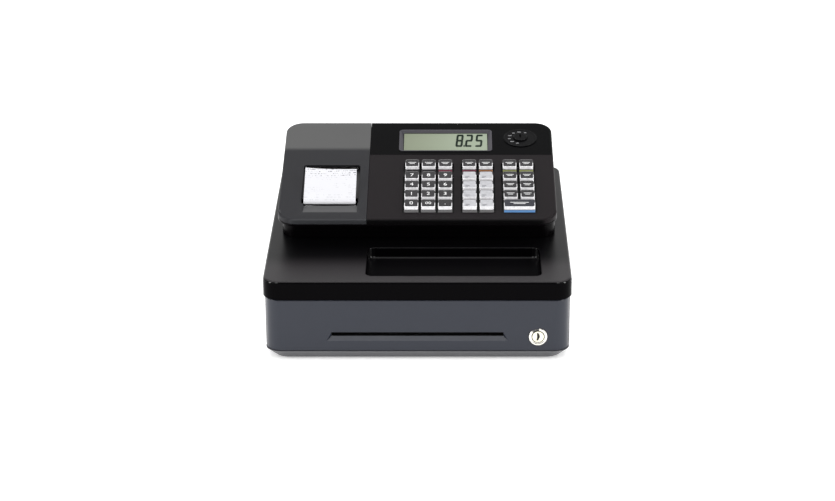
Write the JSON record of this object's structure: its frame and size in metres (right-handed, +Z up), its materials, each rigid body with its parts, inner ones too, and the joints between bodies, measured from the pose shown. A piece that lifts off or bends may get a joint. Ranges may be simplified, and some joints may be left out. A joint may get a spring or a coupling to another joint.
{
  "type": "cash register",
  "caption": "Electronic cash register with a lockable cash drawer, sloped keyboard, display, mode switch and receipt printer; stands on a counter.",
  "frame": {"origin": "centre of the footprint on the table", "axes": "+X to the right, +Y to the back, +Z up; the drawer opens towards -Y"},
  "size_m": [0.333, 0.36, 0.167],
  "materials": {
    "case_grey": "satin light grey moulding",
    "cover_black": "glossy black",
    "panel_black": "satin black",
    "dark_grey": "fine textured dark grey",
    "slate": "satin slate blue-grey",
    "bin_grey": "satin",
    "tray_black": "satin black",
    "key_grey": "clear cap over a dark label",
    "key_white": "clear cap over a white label",
    "key_blue": "clear cap over a blue label",
    "screen": "grey-green display under a clear sheet",
    "nickel": "nickel plated",
    "steel": "plain bright steel",
    "board": "coated circuit board",
    "rubber": "plain",
    "paper": "smooth white",
    "window_black": "smoked glossy window"
  },
  "bodies": {
    "case": {"base_case": "case_grey", "power_inlet": "panel_black", "top_cover": "cover_black", "unit_lower_case": "cover_black", "unit_upper_case": "panel_black", "keyboard_board": "board", "display_window": "dark_grey", "lcd_module": "screen", "mode_dial": "panel_black", "rear_display_window": "window_black", "printer_frame": "panel_black"},
    "drawer": {"drawer_front": "slate", "drawer_bin": "bin_grey", "coin_tray": "tray_black", "lock_housing": "nickel"},
    "lock_plug": {"lock_plug": "nickel"},
    "mode_plug": {"mode_plug": "cover_black"},
    "printer_cover": {"printer_cover": "dark_grey", "receipt": "paper"},
    "platen_arm": {"platen_arm": "steel"},
    "platen_roller": {"platen_roller": "rubber"},
    "paper_roll": {"paper_roll": "paper"},
    "bill_clip_1": {"bill_clip_1": "steel"},
    "bill_clip_2": {"bill_clip_2": "steel"},
    "bill_clip_3": {"bill_clip_3": "steel"},
    "bill_clip_4": {"bill_clip_4": "steel"},
    "key_left_top_1": {"key_left_top_1": "key_grey"},
    "key_left_1_1": {"key_left_1_1": "key_grey"},
    "key_left_2_1": {"key_left_2_1": "key_grey"},
    "key_left_3_1": {"key_left_3_1": "key_grey"},
    "key_left_4_1": {"key_left_4_1": "key_grey"},
    "key_left_top_2": {"key_left_top_2": "key_grey"},
    "key_left_1_2": {"key_left_1_2": "key_grey"},
    "key_left_2_2": {"key_left_2_2": "key_grey"},
    "key_left_3_2": {"key_left_3_2": "key_grey"},
    "key_left_4_2": {"key_left_4_2": "key_grey"},
    "key_left_top_3": {"key_left_top_3": "key_grey"},
    "key_left_1_3": {"key_left_1_3": "key_grey"},
    "key_left_2_3": {"key_left_2_3": "key_grey"},
    "key_left_3_3": {"key_left_3_3": "key_grey"},
    "key_left_4_3": {"key_left_4_3": "key_grey"},
    "key_middle_top_1": {"key_middle_top_1": "key_grey"},
    "key_middle_1_1": {"key_middle_1_1": "key_white"},
    "key_middle_2_1": {"key_middle_2_1": "key_white"},
    "key_middle_3_1": {"key_middle_3_1": "key_white"},
    "key_middle_4_1": {"key_middle_4_1": "key_white"},
    "key_middle_top_2": {"key_middle_top_2": "key_grey"},
    "key_middle_1_2": {"key_middle_1_2": "key_white"},
    "key_middle_2_2": {"key_middle_2_2": "key_white"},
    "key_middle_3_2": {"key_middle_3_2": "key_white"},
    "key_middle_4_2": {"key_middle_4_2": "key_white"},
    "key_right_top_1": {"key_right_top_1": "key_grey"},
    "key_right_2_1": {"key_right_2_1": "key_grey"},
    "key_right_3_1": {"key_right_3_1": "key_grey"},
    "key_right_4_1": {"key_right_4_1": "key_grey"},
    "key_right_top_2": {"key_right_top_2": "key_grey"},
    "key_right_2_2": {"key_right_2_2": "key_grey"},
    "key_right_3_2": {"key_right_3_2": "key_grey"},
    "key_right_4_2": {"key_right_4_2": "key_grey"},
    "key_total": {"key_total": "key_blue"}
  },
  "joints": [
    {"name": "drawer_slide", "type": "slide", "parent": "case", "child": "drawer", "axis": [0, -1, 0], "range_m": [0, 0.25]},
    {"name": "lock_turn", "type": "hinge", "parent": "drawer", "child": "lock_plug", "pos_m": [0.1303, -0.1785, 0.0293], "axis": [0, 1, 0], "range_deg": [0, 90]},
    {"name": "bill_clip_1_lift", "type": "hinge", "parent": "drawer", "child": "bill_clip_1", "pos_m": [-0.11263, 0.144, 0.062], "axis": [-1, 0, 0], "range_deg": [0, 25]},
    {"name": "bill_clip_2_lift", "type": "hinge", "parent": "drawer", "child": "bill_clip_2", "pos_m": [-0.03737, 0.144, 0.062], "axis": [-1, 0, 0], "range_deg": [0, 25]},
    {"name": "bill_clip_3_lift", "type": "hinge", "parent": "drawer", "child": "bill_clip_3", "pos_m": [0.03737, 0.144, 0.062], "axis": [-1, 0, 0], "range_deg": [0, 25]},
    {"name": "bill_clip_4_lift", "type": "hinge", "parent": "drawer", "child": "bill_clip_4", "pos_m": [0.11263, 0.144, 0.062], "axis": [-1, 0, 0], "range_deg": [0, 25]},
    {"name": "mode_turn", "type": "hinge", "parent": "case", "child": "mode_plug", "pos_m": [0.1166, 0.09029, 0.1603], "axis": [0, -0.1908, 0.9816], "range_deg": [-90, 90]},
    {"name": "printer_cover_hinge", "type": "hinge", "parent": "case", "child": "printer_cover", "pos_m": [-0.1052, 0.12834, 0.16107], "axis": [-1, 0, 0], "range_deg": [0, 75]},
    {"name": "platen_arm_lift", "type": "hinge", "parent": "case", "child": "platen_arm", "pos_m": [-0.0992, -0.012, 0.116], "axis": [-1, 0, 0], "range_deg": [0, 6]},
    {"name": "platen_spin", "type": "hinge", "parent": "platen_arm", "child": "platen_roller", "pos_m": [-0.0992, -0.0406, 0.1185], "axis": [1, 0, 0], "continuous": true},
    {"name": "paper_roll_spin", "type": "hinge", "parent": "case", "child": "paper_roll", "pos_m": [-0.0992, 0.075, 0.1275], "axis": [1, 0, 0], "continuous": true},
    {"name": "key_left_top_1_press", "type": "slide", "parent": "case", "child": "key_left_top_1", "axis": [0, 0.1908, -0.9816], "range_m": [0, 0.003], "stiffness_N_per_m": 200, "springref_m": -0.002},
    {"name": "key_left_1_1_press", "type": "slide", "parent": "case", "child": "key_left_1_1", "axis": [0, 0.1908, -0.9816], "range_m": [0, 0.003], "stiffness_N_per_m": 200, "springref_m": -0.002},
    {"name": "key_left_2_1_press", "type": "slide", "parent": "case", "child": "key_left_2_1", "axis": [0, 0.1908, -0.9816], "range_m": [0, 0.003], "stiffness_N_per_m": 200, "springref_m": -0.002},
    {"name": "key_left_3_1_press", "type": "slide", "parent": "case", "child": "key_left_3_1", "axis": [0, 0.1908, -0.9816], "range_m": [0, 0.003], "stiffness_N_per_m": 200, "springref_m": -0.002},
    {"name": "key_left_4_1_press", "type": "slide", "parent": "case", "child": "key_left_4_1", "axis": [0, 0.1908, -0.9816], "range_m": [0, 0.003], "stiffness_N_per_m": 200, "springref_m": -0.002},
    {"name": "key_left_top_2_press", "type": "slide", "parent": "case", "child": "key_left_top_2", "axis": [0, 0.1908, -0.9816], "range_m": [0, 0.003], "stiffness_N_per_m": 200, "springref_m": -0.002},
    {"name": "key_left_1_2_press", "type": "slide", "parent": "case", "child": "key_left_1_2", "axis": [0, 0.1908, -0.9816], "range_m": [0, 0.003], "stiffness_N_per_m": 200, "springref_m": -0.002},
    {"name": "key_left_2_2_press", "type": "slide", "parent": "case", "child": "key_left_2_2", "axis": [0, 0.1908, -0.9816], "range_m": [0, 0.003], "stiffness_N_per_m": 200, "springref_m": -0.002},
    {"name": "key_left_3_2_press", "type": "slide", "parent": "case", "child": "key_left_3_2", "axis": [0, 0.1908, -0.9816], "range_m": [0, 0.003], "stiffness_N_per_m": 200, "springref_m": -0.002},
    {"name": "key_left_4_2_press", "type": "slide", "parent": "case", "child": "key_left_4_2", "axis": [0, 0.1908, -0.9816], "range_m": [0, 0.003], "stiffness_N_per_m": 200, "springref_m": -0.002},
    {"name": "key_left_top_3_press", "type": "slide", "parent": "case", "child": "key_left_top_3", "axis": [0, 0.1908, -0.9816], "range_m": [0, 0.003], "stiffness_N_per_m": 200, "springref_m": -0.002},
    {"name": "key_left_1_3_press", "type": "slide", "parent": "case", "child": "key_left_1_3", "axis": [0, 0.1908, -0.9816], "range_m": [0, 0.003], "stiffness_N_per_m": 200, "springref_m": -0.002},
    {"name": "key_left_2_3_press", "type": "slide", "parent": "case", "child": "key_left_2_3", "axis": [0, 0.1908, -0.9816], "range_m": [0, 0.003], "stiffness_N_per_m": 200, "springref_m": -0.002},
    {"name": "key_left_3_3_press", "type": "slide", "parent": "case", "child": "key_left_3_3", "axis": [0, 0.1908, -0.9816], "range_m": [0, 0.003], "stiffness_N_per_m": 200, "springref_m": -0.002},
    {"name": "key_left_4_3_press", "type": "slide", "parent": "case", "child": "key_left_4_3", "axis": [0, 0.1908, -0.9816], "range_m": [0, 0.003], "stiffness_N_per_m": 200, "springref_m": -0.002},
    {"name": "key_middle_top_1_press", "type": "slide", "parent": "case", "child": "key_middle_top_1", "axis": [0, 0.1908, -0.9816], "range_m": [0, 0.003], "stiffness_N_per_m": 200, "springref_m": -0.002},
    {"name": "key_middle_1_1_press", "type": "slide", "parent": "case", "child": "key_middle_1_1", "axis": [0, 0.1908, -0.9816], "range_m": [0, 0.003], "stiffness_N_per_m": 200, "springref_m": -0.002},
    {"name": "key_middle_2_1_press", "type": "slide", "parent": "case", "child": "key_middle_2_1", "axis": [0, 0.1908, -0.9816], "range_m": [0, 0.003], "stiffness_N_per_m": 200, "springref_m": -0.002},
    {"name": "key_middle_3_1_press", "type": "slide", "parent": "case", "child": "key_middle_3_1", "axis": [0, 0.1908, -0.9816], "range_m": [0, 0.003], "stiffness_N_per_m": 200, "springref_m": -0.002},
    {"name": "key_middle_4_1_press", "type": "slide", "parent": "case", "child": "key_middle_4_1", "axis": [0, 0.1908, -0.9816], "range_m": [0, 0.003], "stiffness_N_per_m": 200, "springref_m": -0.002},
    {"name": "key_middle_top_2_press", "type": "slide", "parent": "case", "child": "key_middle_top_2", "axis": [0, 0.1908, -0.9816], "range_m": [0, 0.003], "stiffness_N_per_m": 200, "springref_m": -0.002},
    {"name": "key_middle_1_2_press", "type": "slide", "parent": "case", "child": "key_middle_1_2", "axis": [0, 0.1908, -0.9816], "range_m": [0, 0.003], "stiffness_N_per_m": 200, "springref_m": -0.002},
    {"name": "key_middle_2_2_press", "type": "slide", "parent": "case", "child": "key_middle_2_2", "axis": [0, 0.1908, -0.9816], "range_m": [0, 0.003], "stiffness_N_per_m": 200, "springref_m": -0.002},
    {"name": "key_middle_3_2_press", "type": "slide", "parent": "case", "child": "key_middle_3_2", "axis": [0, 0.1908, -0.9816], "range_m": [0, 0.003], "stiffness_N_per_m": 200, "springref_m": -0.002},
    {"name": "key_middle_4_2_press", "type": "slide", "parent": "case", "child": "key_middle_4_2", "axis": [0, 0.1908, -0.9816], "range_m": [0, 0.003], "stiffness_N_per_m": 200, "springref_m": -0.002},
    {"name": "key_right_top_1_press", "type": "slide", "parent": "case", "child": "key_right_top_1", "axis": [0, 0.1908, -0.9816], "range_m": [0, 0.003], "stiffness_N_per_m": 200, "springref_m": -0.002},
    {"name": "key_right_2_1_press", "type": "slide", "parent": "case", "child": "key_right_2_1", "axis": [0, 0.1908, -0.9816], "range_m": [0, 0.003], "stiffness_N_per_m": 200, "springref_m": -0.002},
    {"name": "key_right_3_1_press", "type": "slide", "parent": "case", "child": "key_right_3_1", "axis": [0, 0.1908, -0.9816], "range_m": [0, 0.003], "stiffness_N_per_m": 200, "springref_m": -0.002},
    {"name": "key_right_4_1_press", "type": "slide", "parent": "case", "child": "key_right_4_1", "axis": [0, 0.1908, -0.9816], "range_m": [0, 0.003], "stiffness_N_per_m": 200, "springref_m": -0.002},
    {"name": "key_right_top_2_press", "type": "slide", "parent": "case", "child": "key_right_top_2", "axis": [0, 0.1908, -0.9816], "range_m": [0, 0.003], "stiffness_N_per_m": 200, "springref_m": -0.002},
    {"name": "key_right_2_2_press", "type": "slide", "parent": "case", "child": "key_right_2_2", "axis": [0, 0.1908, -0.9816], "range_m": [0, 0.003], "stiffness_N_per_m": 200, "springref_m": -0.002},
    {"name": "key_right_3_2_press", "type": "slide", "parent": "case", "child": "key_right_3_2", "axis": [0, 0.1908, -0.9816], "range_m": [0, 0.003], "stiffness_N_per_m": 200, "springref_m": -0.002},
    {"name": "key_right_4_2_press", "type": "slide", "parent": "case", "child": "key_right_4_2", "axis": [0, 0.1908, -0.9816], "range_m": [0, 0.003], "stiffness_N_per_m": 200, "springref_m": -0.002},
    {"name": "key_total_press", "type": "slide", "parent": "case", "child": "key_total", "axis": [0, 0.1908, -0.9816], "range_m": [0, 0.003], "stiffness_N_per_m": 200, "springref_m": -0.002}
  ],
  "couplings": [
    {"joint": "platen_spin", "follows": "paper_roll_spin", "ratio": 4.1667}
  ]
}
